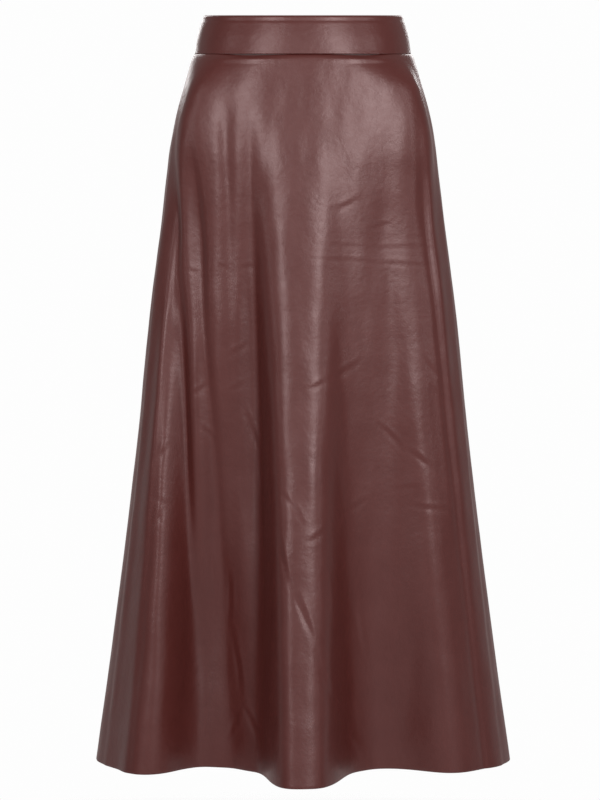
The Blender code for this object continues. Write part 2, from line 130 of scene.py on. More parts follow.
# A panel's grid leans with the first FOLLOWED flutes. Its columns keep their azimuths at
# FOLLOW_DROP, and from FOLLOW_END on they stay upright.
FOLLOWED = 3
FOLLOW_DROP = 0.5
FOLLOW_END = 30.0

# The creases that packing left in the front, as seen from the front: both ends, across
# (x) and height, how far the middle bows, the width of the trough and its depth, and the
# height of the ridge beside it.
CREASE_COLUMNS = ("x_a", "z_a", "x_b", "z_b", "bow", "width", "depth", "ridge")
FRONT_CREASES = (
    (-0.004, -0.290, 0.098, -0.292, 0.0012, 0.0022, 0.0003, 0.0003),
    (0.064, -0.290, 0.172, -0.293, -0.0014, 0.0020, 0.0003, 0.0004),
    (0.004, -0.272, 0.086, -0.275, 0.0010, 0.0024, 0.0002, 0.0002),
    (0.070, -0.276, 0.166, -0.272, 0.0012, 0.0022, 0.0003, 0.0003),
    (-0.104, -0.293, -0.089, -0.302, 0.0010, 0.0022, 0.0006, 0.0004),
    (0.125, -0.583, 0.182, -0.589, -0.0015, 0.0024, 0.0007, 0.0005),
    (0.028, -0.233, 0.075, -0.210, -0.0030, 0.0030, 0.0005, 0.0004),
    (0.003, -0.446, 0.032, -0.430, -0.0015, 0.0024, 0.0008, 0.0006),
    (0.023, -0.435, 0.075, -0.405, -0.0030, 0.0030, 0.0006, 0.0005),
    (-0.091, -0.404, -0.062, -0.384, -0.0020, 0.0024, 0.0007, 0.0005),
    (-0.091, -0.446, -0.067, -0.432, -0.0020, 0.0024, 0.0006, 0.0004),
    (-0.136, -0.452, -0.112, -0.432, -0.0025, 0.0026, 0.0008, 0.0006),
    (-0.178, -0.531, -0.158, -0.503, -0.0020, 0.0026, 0.0008, 0.0006),
    (-0.184, -0.614, -0.164, -0.575, -0.0030, 0.0028, 0.0009, 0.0007),
    (0.120, -0.515, 0.159, -0.547, 0.0030, 0.0028, 0.0008, 0.0006),
    (0.001, -0.625, 0.033, -0.605, -0.0020, 0.0028, 0.0008, 0.0006),
    (-0.031, -0.600, -0.016, -0.678, -0.0020, 0.0030, 0.0010, 0.0006),
    (-0.022, -0.660, 0.018, -0.755, 0.0020, 0.0034, 0.0011, 0.0006),
    (0.011, -0.737, 0.050, -0.845, -0.0030, 0.0036, 0.0012, 0.0006),
    (0.038, -0.815, 0.070, -0.896, -0.0020, 0.0034, 0.0010, 0.0006),
    (-0.091, -0.654, -0.092, -0.743, 0.0020, 0.0030, 0.0010, 0.0006),
    (-0.093, -0.719, -0.075, -0.833, 0.0040, 0.0032, 0.0012, 0.0007),
    (-0.080, -0.815, -0.048, -0.883, 0.0030, 0.0032, 0.0012, 0.0007),
    (-0.074, -0.824, -0.100, -0.877, 0.0020, 0.0030, 0.0009, 0.0006),
    (-0.155, -0.769, -0.174, -0.877, 0.0030, 0.0032, 0.0009, 0.0006),
    (-0.075, -0.460, -0.053, -0.525, 0.0020, 0.0026, 0.0009, 0.0006),
    (-0.056, -0.516, -0.048, -0.590, 0.0020, 0.0026, 0.0009, 0.0006),
    (0.076, -0.255, 0.112, -0.243, 0.0015, 0.0024, 0.0003, 0.0003),
    (0.142, -0.400, 0.166, -0.432, -0.0020, 0.0024, 0.0006, 0.0005),
    (0.150, -0.436, 0.170, -0.462, 0.0015, 0.0022, 0.0005, 0.0004),
    (0.078, -0.478, 0.124, -0.522, 0.0030, 0.0026, 0.0005, 0.0004),
    (0.104, -0.566, 0.150, -0.561, 0.0012, 0.0024, 0.0004, 0.0004),
    (0.036, -0.596, 0.084, -0.572, -0.0020, 0.0026, 0.0005, 0.0004),
    (-0.032, -0.560, 0.004, -0.610, 0.0025, 0.0026, 0.0006, 0.0004),
    (-0.128, -0.486, -0.104, -0.510, 0.0020, 0.0024, 0.0006, 0.0004),
    (-0.142, -0.300, -0.122, -0.305, 0.0010, 0.0022, 0.0005, 0.0004),
    (-0.078, -0.300, -0.052, -0.296, 0.0010, 0.0022, 0.0005, 0.0003),
    (-0.182, -0.572, -0.160, -0.590, 0.0020, 0.0026, 0.0006, 0.0004),
    (-0.120, -0.620, -0.108, -0.690, 0.0020, 0.0028, 0.0006, 0.0004),
    (0.060, -0.690, 0.076, -0.780, -0.0025, 0.0030, 0.0005, 0.0004),
    (0.020, -0.640, 0.030, -0.730, 0.0030, 0.0030, 0.0006, 0.0004),
)
# And in the back, also as seen from the front
BACK_CREASES = (
    (-0.085, -0.270, -0.012, -0.272, 0.0010, 0.0026, 0.0006, 0.0005),
    (0.020, -0.271, 0.098, -0.268, -0.0010, 0.0026, 0.0006, 0.0005),
    (-0.140, -0.300, -0.060, -0.296, 0.0015, 0.0026, 0.0006, 0.0004),
    (0.062, -0.298, 0.121, -0.303, 0.0012, 0.0024, 0.0006, 0.0004),
    (-0.118, -0.392, -0.082, -0.366, -0.0025, 0.0028, 0.0008, 0.0006),
    (0.045, -0.420, 0.088, -0.389, -0.0030, 0.0030, 0.0008, 0.0006),
    (-0.052, -0.452, -0.021, -0.437, -0.0020, 0.0024, 0.0007, 0.0005),
    (0.128, -0.498, 0.165, -0.528, 0.0030, 0.0028, 0.0008, 0.0006),
    (-0.170, -0.556, -0.150, -0.517, -0.0025, 0.0028, 0.0008, 0.0006),
    (-0.086, -0.585, -0.030, -0.590, 0.0015, 0.0026, 0.0006, 0.0005),
    (0.012, -0.612, 0.060, -0.640, 0.0025, 0.0028, 0.0008, 0.0006),
    (-0.060, -0.660, -0.082, -0.740, -0.0030, 0.0030, 0.0010, 0.0006),
    (-0.079, -0.722, -0.060, -0.812, 0.0040, 0.0032, 0.0011, 0.0006),
    (0.096, -0.700, 0.078, -0.800, 0.0030, 0.0032, 0.0010, 0.0006),
    (0.082, -0.782, 0.112, -0.872, -0.0030, 0.0032, 0.0010, 0.0006),
    (-0.020, -0.790, 0.008, -0.878, 0.0030, 0.0032, 0.0009, 0.0006),
)
CREASE_SHARE = 0.85          # of the depths and ridges above
CREASE_START = 0.020         # creases fade in over this drop below the band
RIDGE_PLACE = 1.9            # widths from a trough's middle to its ridge's

# Ripple: small unevenness of the hand of the cloth, as a sum of seeded waves
RIPPLE_SEED = 11
RIPPLE_WAVES = 32
RIPPLE_LENGTHS = (0.016, 0.075)
RIPPLE_HEIGHT = 0.00007
RIPPLE_LEAN = (1.0, 1.0, 0.35)   # of the waves' directions: mostly upright streaks
RIPPLE_START = 0.030         # it fades in over this drop below the band
RIPPLE_SEAM = 0.020          # and over this distance from an upright seam

# The upright seams lie in a groove of this depth and width.
SEAM_DIP = 0.0011
SEAM_DIP_WIDTH = 0.0017

# A panel's top edge, under the band, rolls out by the lip within about the roll's drop.
# Over the middle of the front it sits deeper by the slit. In two places it pouts: a lip
# stands out at the pout's drop, and the edge above it sits deeper still.
SEAM_LIP = 0.0020
SEAM_ROLL = 0.0020
SLIT_DEPTH = 0.0020
SLIT_DROP = 0.0014
SLIT_SPREAD = 36.0           # degrees to each side of the centre front
POUTS = ((-27.0, 14.0), (31.0, 12.0))      # middle and spread of each, in degrees
POUT_HEIGHT = 0.0026
POUT_DROP, POUT_SPREAD = 0.0064, 0.0018
POUT_SLIT = 0.0040
POUT_REACH = (0.5, 2.2)      # of the slit's drop: beside a pout, and more at its middle

# The hem: a rounded edge, and cloth turned up inside it
HEM_ROUND = 0.0012
HEM_ANGLES = (35.0, 65.0, 90.0)             # of the rows round the edge
HEM_TURN = 0.0180
HEM_EXTRA = 0.7              # of the wall, which the turned cloth adds
HEM_STEP = 0.0020            # over which it starts and ends

# Grids
PANEL_ROWS = 289
INNER_STEP = 4               # an inner face has one cell for this many outer ones, each way
ARC_SAMPLES = 1441
EVEN_HEIGHTS = (HEM, HEM / 2, HEM / 4)      # the columns are evenly apart at their mean
EDGE_CELLS = (0.0, 0.0007, 0.0015, 0.0026, 0.0042)       # the first columns, from a seam
LIP_DROPS = (0.0, 0.25, 0.5, 0.8, 1.2, 1.7, 2.4, 3.3)    # in seam rolls

# The three sides that the skirt is cut in: the solids of each one's panel and band, its
# azimuths, the way it stands off the sewn lines by half their gap, the columns of both
# grids, and the flat width and area of the panel and the flat width of the band.
SIDE_COLUMNS = ("panel", "band", "start", "end", "off_x", "off_y", "panel_columns",
                "band_columns", "panel_width", "panel_area", "band_width")
SIDES = (
    ("front_panel", "waistband_front", -90.0, 90.0, 0, -1, 297, 140, 0.74, 0.49, 0.37),
    ("back_panel_right", "waistband_back_right", 90.0, 180.0, 1, 1, 149, 70, 0.38, 0.25, 0.18),
    ("back_panel_left", "waistband_back_left", 180.0, 270.0, -1, 1, 149, 70, 0.38, 0.25, 0.18),
)

# The band's closed profile is worked out from these.
BAND_FOOT_ROUND = 0.0011
BAND_BULGE = 0.0009
BAND_ROLL = 0.0026           # radius of the rolled top edge
BAND_ROLL_BLEND = 0.0040     # drop over which the roll's inside thins to the wall
BAND_GROOVE = 0.0007
BAND_GROOVE_DROP = 0.0062    # below the top
BAND_GROOVE_WIDTH = 0.0016
FOOT_POINTS, FACE_POINTS, ROLL_POINTS, INNER_POINTS = 5, 25, 10, 14

# Concealed zip
ZIP_TOP = 0.0170
ZIP_BOTTOM = -0.1950
TAPE_WIDTH = 0.0120
TAPE_BLEND = 0.0350          # drop over which the zip goes from the band's depth to the panel's
TAPE_ROWS, TAPE_COLUMNS = 97, 9
SLIDER_HEIGHT = 0.0110       # of the slider's middle
SLIDER_WIDTH = 0.0070
SLIDER_LENGTH = 0.0100       # the coil ends this far under the slider's middle
SLIDER_PARTING = 0.25        # of its length, over which the tapes part above the coil
NOTCH_HALF = 0.0012          # half the parting of the band's edges at the slider
NOTCH_DROP = 0.0075          # that parting starts this far under the slider's middle
COIL_PITCH = 0.00125
COIL_WIDTH = 0.0042
COIL_DEPTH = 0.0013
COIL_WIRE = 0.00032
COIL_STEPS, COIL_SIDES = 10, 5              # of a turn, and round the wire


# ---------------------------------------------------------------- form

def rows_of(table, columns):
    """The rows of a table, each as a dictionary of its named columns."""
    return [dict(zip(columns, row)) for row in table]


def smooth_between(knots, values, at):
    """Cubic curve through the knots, whose slopes are the table's own."""
    order = np.argsort(knots)
    knots, values = knots[order], values[order]
    slopes = np.gradient(values, knots)
    at = np.clip(at, knots[0], knots[-1])
    low = np.clip(np.searchsorted(knots, at) - 1, 0, len(knots) - 2)
    span = knots[low + 1] - knots[low]
    part = (at - knots[low]) / span
    ends = values[low] * (1 + 2 * part) * (1 - part) ** 2
    ends = ends + values[low + 1] * part ** 2 * (3 - 2 * part)
    bends = slopes[low] * part * (1 - part) ** 2 - slopes[low + 1] * part ** 2 * (1 - part)
    return ends + bends * span


def of_section(name, height):
    """A column of the section table, read at any height."""
    rows = rows_of(SECTIONS, SECTION_COLUMNS)
    heights, values = (np.array([row[key] for row in rows]) for key in ("height", name))
    return smooth_between(heights, values, height)


def of_half(name, at_front, height):
    """A column that the section table has for the front and for the back."""
    return np.where(at_front, of_section("front_" + name, height),
                    of_section("back_" + name, height))


def ease(part):
    """0 below 0, 1 above 1, and a smooth step between."""
    part = np.clip(part, 0.0, 1.0)
    return part * part * (3 - 2 * part)


def bell(away, spread, crown=2.0):
    """1 at the middle, falling to both sides as exp(-|away / spread| ^ crown)."""
    return np.exp(-np.abs(away / spread) ** crown)


def around(azimuth, middle):
    """Degrees from the middle, from -180 to 180."""
    return (azimuth - middle + 180.0) % 360.0 - 180.0


def drop_of(height):
    """0 at the waist seam and 1 at the hem."""
    return np.clip((BAND_SEAM - height) / (BAND_SEAM - HEM), 0.0, 1.0)


def side_spread(away, drop, waist, hem):
    """Spread on the side where a point lies, from the waist's (left, right) to the hem's."""
    at_waist, at_hem = np.where(away < 0, *waist), np.where(away < 0, *hem)
    return at_waist + (at_hem - at_waist) * drop


def flute_middle(flute, drop):
    """Azimuth of a flute's middle: its hem's, plus its lean times what is left ^ drift."""
    left = np.clip((1 - drop) / (1 - flute["top"]), 0.0, 1.0)
    return flute["at_hem"] + (flute["at_top"] - flute["at_hem"]) * left ** flute["drift"]


def followed(azimuth, height):
    """Azimuths of a grid whose columns lean as the deep flutes do.

    At FOLLOW_DROP they are the ones given. Elsewhere each is moved by as much as the
    flutes have moved, shared between neighbouring flutes and the seams in proportion.
    """
    flutes = rows_of(FLUTES[:FOLLOWED], FLUTE_COLUMNS)
    middles = [flute_middle(flute, FOLLOW_DROP) for flute in flutes]
    knots = np.array([-90.0, *middles, FOLLOW_END, 360.0])
    total = np.zeros((len(height), len(azimuth)))
    for place, (flute, middle) in enumerate(zip(flutes, middles), start=1):
        move = flute_middle(flute, drop_of(height)) - middle
        share = np.interp(azimuth, knots, np.arange(len(knots)) == place)
        total = total + move[:, np.newaxis] * share
    return azimuth + total


def fold_push(azimuth, height):
    """Sum of the folds and flutes.

    A fold is push * drop ^ growth times its bell of the degrees away. A flute is a bell
    of the metres away, times a push eased in from its top to its full drop.
    """
    drop = drop_of(height)
    total = np.zeros_like(drop)
    for fold in rows_of(FOLDS, FOLD_COLUMNS):
        lean = fold["at_waist"] - fold["at_hem"]
        away = around(azimuth, fold["at_hem"] + lean * (1 - drop) ** fold["drift"])
        spread = side_spread(away, drop, (fold["spread_waist"], fold["spread_waist"]),
                             (fold["left_hem"], fold["right_hem"]))
        push = fold["push"] * drop ** fold["growth"]
        total = total + push * bell(away, spread, fold["crown"])
    radius = (of_section("half_width", height) + of_section("front_depth", height)) / 2
    for flute in rows_of(FLUTES, FLUTE_COLUMNS):
        away = np.radians(around(azimuth, flute_middle(flute, drop))) * radius
        spread = side_spread(away, drop, (flute["left"], flute["right"]),
                             (flute["left_hem"], flute["right_hem"]))
        push = flute["push"] * ease((drop - flute["top"]) / (flute["full"] - flute["top"]))
        last = ease((drop - flute["full"]) / (1 - flute["full"]))
        push = push + (flute["push_hem"] - flute["push"]) * last
        total = total + push * bell(away, spread, flute["crown"])
    return total


def form(azimuth, height, out=0.0):
    """Points of the form, moved out by a distance along the section's normal.

    The section is a rounded one: |x / width| and |y / depth|, each to the section's
    power, add up to 1. The azimuth is the direction in which a point lies once the
    width and the depth are both taken as 1. The tilt then lowers the front of each
    ring.
    """
    azimuth, height, out = np.broadcast_arrays(azimuth, height, out)
    across = np.sin(np.radians(azimuth))
    ahead = np.cos(np.radians(azimuth))
    width = of_section("half_width", height)
    depth = of_half("depth", ahead > 0, height)
    power = of_half("square", ahead > 0, height)
    reach = (np.abs(across) ** power + np.abs(ahead) ** power) ** (-1 / power)
    across, ahead = across * reach, ahead * reach
    normal_x = np.sign(across) * np.abs(across) ** (power - 1) / width
    normal_y = -np.sign(ahead) * np.abs(ahead) ** (power - 1) / depth
    push = (fold_push(azimuth, height) + out) / np.hypot(normal_x, normal_y)
    x = width * across + normal_x * push
    y = -depth * ahead + normal_y * push
    tilt = WAIST_TILT * np.clip((height - LEVEL_HEIGHT) / (BAND_TOP - LEVEL_HEIGHT), 0.0, 1.0)
    z = height + tilt * np.where(y < 0, y, y * np.exp(-np.abs(y) / BACK_EASE))
    return np.stack((x, y, z), axis=-1)


def crease_depth(points, creases):
    """How far the creases push each point out, negative in their troughs.

    A crease runs from a to b in the view from the front, bowed as a parabola. Across it
    lies a bell-shaped trough with a lower bell-shaped ridge beside it, and both fade
    towards the ends as (1 - t ^ 2) ^ 2, t from -1 to 1 along it.
    """
    total = np.zeros(points.shape[:-1])
    for crease in rows_of(creases, CREASE_COLUMNS):
        start = np.array((crease["x_a"], crease["z_a"]))
        end = np.array((crease["x_b"], crease["z_b"]))
        half = (end - start) / 2
        reach = np.linalg.norm(half)
        along_axis = half / reach
        across_axis = np.array((-along_axis[1], along_axis[0]))
        away = points[..., (0, 2)] - (start + end) / 2
        part = np.clip(away @ along_axis / reach, -1.0, 1.0)
        across = away @ across_axis - crease["bow"] * (1 - part ** 2)
        trough = crease["depth"] * bell(across, crease["width"])
        ridge = crease["ridge"] * bell(across / crease["width"] - RIDGE_PLACE, 1.0)
        total = total + (1 - part ** 2) ** 2 * (ridge - trough)
    return total * CREASE_SHARE


def ripple(points):
    """Sum of seeded plane waves through space, of the lengths and height named above."""
    rng = np.random.default_rng(RIPPLE_SEED)
    total = np.zeros(points.shape[:-1])
    for _ in range(RIPPLE_WAVES):
        direction = rng.normal(size=3) * RIPPLE_LEAN
        direction = direction / np.linalg.norm(direction)
        length = rng.uniform(*RIPPLE_LENGTHS)
        phase = rng.uniform(0.0, 2 * np.pi)
        total = total + np.sin(points @ direction * 2 * np.pi / length + phase) * length
    return total * RIPPLE_HEIGHT / np.mean(RIPPLE_LENGTHS)


def row_lengths(points):
    """Length along each row of a grid, from its first point."""
    steps = np.linalg.norm(np.diff(points, axis=1), axis=-1)
    return np.concatenate((np.zeros((len(points), 1)), np.cumsum(steps, axis=1)), axis=1)


def seam_azimuths(start, end, count):
    """Azimuths whose points lie evenly along the cloth, crowded at the seams."""
    azimuth = np.linspace(start, end, ARC_SAMPLES)
    rows = form(azimuth, np.array(EVEN_HEIGHTS)[:, np.newaxis])
    length = row_lengths(rows).mean(axis=0)
    edge = np.array(EDGE_CELLS)
    inner = np.linspace(edge[-1], length[-1] - edge[-1], count)[1:-1]
    places = np.concatenate((edge, inner, length[-1] - edge[::-1]))
    return np.interp(places, length, azimuth)


# ---------------------------------------------------------------- meshes

def placed(name, data):
    """A new object of some data, in the scene."""
    obj = bpy.data.objects.new(name, data)
    bpy.context.scene.collection.objects.link(obj)
    return obj


def mesh_object(name, points, faces, finishes):
    """Object of a mesh from its points and faces, shaded smooth, at the origin."""
    mesh = bpy.data.meshes.new(name)
    mesh.from_pydata(points.tolist(), [], faces)
    mesh.shade_smooth()
    for finish in finishes:
        mesh.materials.append(finish)
    return placed(name, mesh)


def grid_faces(index):
    """Quads between neighbouring rows and columns of an index grid."""
    corners = (index[:-1, :-1], index[1:, :-1], index[1:, 1:], index[:-1, 1:])
    return np.stack(corners, axis=-1).reshape(-1, 4)


def normals_of(points):
    """Unit normals of a grid, outwards, from its neighbouring points."""
    down = np.gradient(points, axis=0)
    along = np.gradient(points, axis=1)
    normals = np.cross(along, -down)
    return normals / np.linalg.norm(normals, axis=-1, keepdims=True)


def rim_faces(fine, coarse):
    """Faces that join a fine edge to a coarse one, one for each coarse cell.

    Each takes INNER_STEP + 1 points of the fine edge and 2 of the coarse one.
    """
    starts = np.arange(len(coarse) - 1)[:, np.newaxis] * INNER_STEP
    runs = fine[starts + np.arange(INNER_STEP + 1)]
    return np.column_stack((runs, coarse[1:], coarse[:-1])).tolist()


def cloth_shell(name, outer, wall, finishes):
    """A wall of cloth: a fine outer face, a coarser inner one, and rims that close it.

    The inner face is the outer one moved in along its normals by the wall, read at every
    INNER_STEP-th row and column. It has the second finish. The rims are shaded flat, so
    that their narrow faces don't smear the cloth's shading.
    """
    inner = (outer - normals_of(outer) * wall[..., np.newaxis])[::INNER_STEP, ::INNER_STEP]
    fine = np.arange(outer[..., 0].size).reshape(outer.shape[:2])
    coarse = np.arange(inner[..., 0].size).reshape(inner.shape[:2]) + fine.size
    outside = grid_faces(fine).tolist()
    rims = (rim_faces(fine[0], coarse[0])
            + rim_faces(fine[-1, ::-1], coarse[-1, ::-1])
            + rim_faces(fine[::-1, 0], coarse[::-1, 0])
            + rim_faces(fine[:, -1], coarse[:, -1]))
    inside = grid_faces(coarse)[:, ::-1].tolist()
    points = np.concatenate((outer.reshape(-1, 3), inner.reshape(-1, 3)))
    obj = mesh_object(name, points, outside + rims + inside, finishes)
    kind = np.repeat((0, 1, 2), (len(outside), len(rims), len(inside)))
    obj.data.polygons.foreach_set("material_index", (kind == 2).astype(np.int32))
    obj.data.polygons.foreach_set("use_smooth", kind != 1)
    return obj


def swept_profile(name, points, finish):
    """A closed profile swept along a path, whose two ends are closed with one face each.

    The rows of points go round the profile, and the last isn't a copy of the first. The
    columns go along the path.
    """
    index = np.arange(points[..., 0].size).reshape(points.shape[:2])
    faces = grid_faces(np.concatenate((index, index[:1])))[:, ::-1].tolist()
    faces += [index[:, 0].tolist(), index[::-1, -1].tolist()]
    return mesh_object(name, points.reshape(-1, 3), faces, [finish])


# ---------------------------------------------------------------- shader maths

class Value:
    """A socket's output, with Python's operators as Math nodes."""

    def __init__(self, nodes, socket):
        self.nodes = nodes
        self.socket = socket

    def output(self, name):
        """Another output of the same node."""
        return Value(self.nodes, self.socket.node.outputs[name])

    def math(self, operation, *values):
        """A Math node on values or sockets, in order."""
        return self.nodes.node("ShaderNodeMath", *values, settings={"operation": operation})

    def __add__(self, other):
        return self.math("ADD", self, other)

    def __mul__(self, other):
        return self.math("MULTIPLY", self, other)

    def __truediv__(self, other):
        return self.math("DIVIDE", self, other)

    def __rsub__(self, other):
        return self.math("SUBTRACT", other, self)

    __radd__ = __add__


class Nodes:
    """The nodes of a material or of the world."""

    def __init__(self, tree):
        self.tree = tree

    def join(self, made, sockets):
        """Give a node's sockets their values or links, by place or by name (_ for a space)."""
        for key, value in sockets.items():
            socket = made.inputs[key.replace("_", " ") if isinstance(key, str) else key]
            if isinstance(value, Value):
                self.tree.links.new(value.socket, socket)
            else:
                socket.default_value = value

    def node(self, kind, *values, output=0, settings=None, at=None, **named):
        """Add a node: its settings first, then its sockets in order, at places or by name."""
        made = self.tree.nodes.new(kind)
        for key, setting in (settings or {}).items():
            setattr(made, key, setting)
        self.join(made, {**dict(enumerate(values)), **(at or {}), **named})
        return Value(self, made.outputs[output])

    def noise(self, place, scale, detail=2.0, roughness=0.5):
        """Noise of a given scale, around 0.5."""
        return self.node("ShaderNodeTexNoise", Vector=place, Scale=scale, Detail=detail,
                         Roughness=roughness)

    def remap(self, value, start, end, at_start, at_end, kind="SMOOTHSTEP"):
        """A value between start and end, as one between at_start and at_end."""
        return self.node("ShaderNodeMapRange", value, start, end, at_start, at_end,
                         settings={"interpolation_type": kind})

    def blend(self, factor, low, high):
        """A colour between two, by a factor. Its sockets share their names with others."""
        return self.node("ShaderNodeMix", factor, output=2, settings={"data_type": "RGBA"},
                         at={6: low, 7: high})

    def ramp(self, value, stops):
        """A colour read from (place, colour) stops."""
        colour = self.node("ShaderNodeValToRGB", value)
        elements = colour.socket.node.color_ramp.elements
        while len(elements) < len(stops):
            elements.new(0.5)
        for element, (place, shade) in zip(elements, stops):
            element.position = place
            element.color = shade
        return colour


class Finish(Nodes):
    """A material. Constants go straight to the Principled BSDF's sockets."""

    def __init__(self, name, **constants):
        self.material = bpy.data.materials.new(name)
        self.material.use_nodes = True
        super().__init__(self.material.node_tree)
        self.feed(**constants)

    def feed(self, **sockets):
        """Give the shader's sockets their values or links."""
        self.join(self.tree.nodes["Principled BSDF"], sockets)

    def place(self):
        """Object coordinates."""
        return self.node("ShaderNodeTexCoord", output="Object")

    def bump(self, height, distance, **under):
        """A Bump node on a height, on top of another bump where one is given."""
        return self.node("ShaderNodeBump", Height=height, Distance=distance, **under)


LEATHER_DEEP = (0.053, 0.0101, 0.0082, 1.0)
LEATHER_WARM = (0.070, 0.0142, 0.0117, 1.0)
LEATHER_TINT = (1.0, 0.80, 0.80, 1.0)
BACKING_DARK = (0.050, 0.017, 0.015, 1.0)
BACKING_LIGHT = (0.105, 0.042, 0.036, 1.0)
TAPE_DARK = (0.030, 0.009, 0.008, 1.0)
TAPE_LIGHT = (0.070, 0.024, 0.021, 1.0)
METAL_DARK = (0.070, 0.030, 0.026, 1.0)
METAL_WORN = (0.300, 0.210, 0.180, 1.0)


def leather():
    """Coated leather: fine pebble grain, faint clouding of colour and of gloss."""
    finish = Finish("coated_leather", Specular_Tint=LEATHER_TINT)
    place = finish.place()
    clouds = finish.noise(place, scale=26.0, detail=3.0)
    mottle = finish.noise(place, scale=150.0, detail=3.0)
    grain = finish.noise(place, scale=1100.0, roughness=0.6)
    pebbles = finish.node("ShaderNodeTexVoronoi", settings={"feature": "SMOOTH_F1"},
                          Vector=place, Scale=820.0, Smoothness=0.6)
    tone = clouds * 0.6 + mottle * 0.4
    coarse = finish.bump(mottle, 0.00026)
    finish.feed(Base_Color=finish.blend(tone, LEATHER_DEEP, LEATHER_WARM),
                Roughness=0.23 + clouds * 0.12 + mottle * 0.08 + grain * 0.04,
                Normal=finish.bump(pebbles + grain * 0.5, 0.00004, Normal=coarse))
    return finish.material


def backing():
    """The cloth's wrong side: a fine brushed knit, matt."""
    finish = Finish("knit_backing", Roughness=0.92, Sheen_Weight=0.25)
    place = finish.place()
    fuzz = finish.noise(place, scale=900.0, detail=3.0)
    wales = finish.node("ShaderNodeTexWave", settings={"bands_direction": "Z"}, Vector=place,
                        Scale=210.0, Distortion=3.0, Detail=2.0)
    tone = fuzz * 0.6 + wales * 0.4
    finish.feed(Base_Color=finish.blend(tone, BACKING_DARK, BACKING_LIGHT),
                Normal=finish.bump(wales + fuzz, 0.00012))
    return finish.material


def tape_cloth():
    """Zip tape: a tight herringbone-like weave."""
    finish = Finish("zip_tape_weave", Roughness=0.8, Sheen_Weight=0.2)
    place = finish.place()
    warp, weft = (finish.node("ShaderNodeTexWave", settings={"bands_direction": way},
                              Vector=place, Scale=scale)
                  for way, scale in (("X", 420.0), ("Z", 520.0)))
    fuzz = finish.noise(place, scale=1500.0)
    weave = warp * 0.5 + weft * 0.5
    tone = weave * 0.7 + fuzz * 0.3
    finish.feed(Base_Color=finish.blend(tone, TAPE_DARK, TAPE_LIGHT),
                Normal=finish.bump(weave, 0.00010))
    return finish.material


def coil_plastic():
    """Nylon coil, dyed to the tape."""
    finish = Finish("zip_coil_nylon", Specular_IOR_Level=0.5)
    smear = finish.noise(finish.place(), scale=300.0)
    finish.feed(Base_Color=finish.blend(smear, TAPE_DARK, TAPE_LIGHT),
                Roughness=0.32 + smear * 0.12)
    return finish.material


def lacquered_metal():
    """Slider and pull: lacquer over metal, rubbed where fingers hold it."""
    finish = Finish("lacquered_zip_metal", Coat_Roughness=0.12)
    place = finish.place()
    rub = finish.noise(place, scale=420.0, detail=4.0)
    worn = finish.remap(rub, 0.62, 0.78, 0.0, 1.0, kind="LINEAR")
    fine = finish.noise(place, scale=2600.0)
    finish.feed(Base_Color=finish.blend(worn, METAL_DARK, METAL_WORN),
                Metallic=0.55 + worn * 0.45,
                Roughness=0.27 + fine * 0.16,
                Coat_Weight=0.6 - worn * 0.5,
                Normal=finish.bump(fine, 0.00002))
    return finish.material


# ---------------------------------------------------------------- pieces

def panel_rows():
    """Heights of a panel's rows: close at the lip, even below it, and round the hem."""
    lip = BAND_SEAM - SEAM_GAP / 2 - SEAM_ROLL * np.array(LIP_DROPS)
    hem = HEM + HEM_ROUND * (1 - np.sin(np.radians(HEM_ANGLES)))
    count = PANEL_ROWS - len(lip) - len(hem)
    body = np.linspace(lip[-1], HEM + HEM_ROUND, count + 1)[1:]
    return np.concatenate((lip, body, hem))


def top_edge(azimuth, drop):
    """How far out of the form a panel's top edge is, by the drop below the band.

    It rolls out as lip * (1 - exp(-drop / roll)). The slit, the pouts and the deeper
    slits above them are bells of the drop times bells of the degrees.
    """
    out = SEAM_LIP * (1 - np.exp(-drop / SEAM_ROLL))
    out = out - SLIT_DEPTH * bell(around(azimuth, 0.0), SLIT_SPREAD, 4.0) * bell(drop, SLIT_DROP)
    for place, spread in POUTS:
        pout = bell(around(azimuth, place), spread)
        lip = POUT_HEIGHT * bell(drop - POUT_DROP, POUT_SPREAD)
        slit = POUT_SLIT * bell(drop, SLIT_DROP * (POUT_REACH[0] + POUT_REACH[1] * pout))
        out = out + pout * (lip - slit)
    return out


def panel_grid(start, end, count, creases):
    """Outer face of a panel on its grid of azimuth and height."""
    heights = panel_rows()
    azimuth = followed(seam_azimuths(start, end, count), heights)
    height = np.broadcast_to(heights[:, np.newaxis], azimuth.shape)
    plain = form(azimuth, height)
    drop = heights[0] - height
    along = row_lengths(plain)
    to_seam = np.minimum(along, along[:, -1:] - along)
    out = top_edge(azimuth, drop) - SEAM_DIP * bell(to_seam, SEAM_DIP_WIDTH)
    out = out + crease_depth(plain, creases) * ease(drop / CREASE_START)
    out = out + ripple(plain) * ease(drop / RIPPLE_START) * ease(to_seam / RIPPLE_SEAM)
    under = np.clip((HEM + HEM_ROUND - height) / HEM_ROUND, 0.0, 1.0)
    out = out - HEM_ROUND * (1 - np.sqrt(1 - under ** 2))
    return form(azimuth, height, out), height


def off_seams(side):
    """The shift by which a side's pieces stand half a gap off their sewn lines."""
    return np.array((side["off_x"], side["off_y"], 0.0)) * SEAM_GAP / 2


def make_panels(finishes):
    """Front and back panels, each a shell in place of its plain solid."""
    for side in rows_of(SIDES, SIDE_COLUMNS):
        creases = FRONT_CREASES if side["off_y"] < 0 else BACK_CREASES
        outer, height = panel_grid(side["start"], side["end"], side["panel_columns"], creases)
        turned = ease((HEM + HEM_TURN - height) / HEM_STEP) * ease((height - HEM) / HEM_STEP)
        wall = PANEL_WALL * (1 + HEM_EXTRA * turned)
        obj = cloth_shell(side["panel"] + "_cloth", outer + off_seams(side), wall, finishes)
        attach(obj, "skirt")
        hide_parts(side["panel"])
        side["band"] + "_cloth"


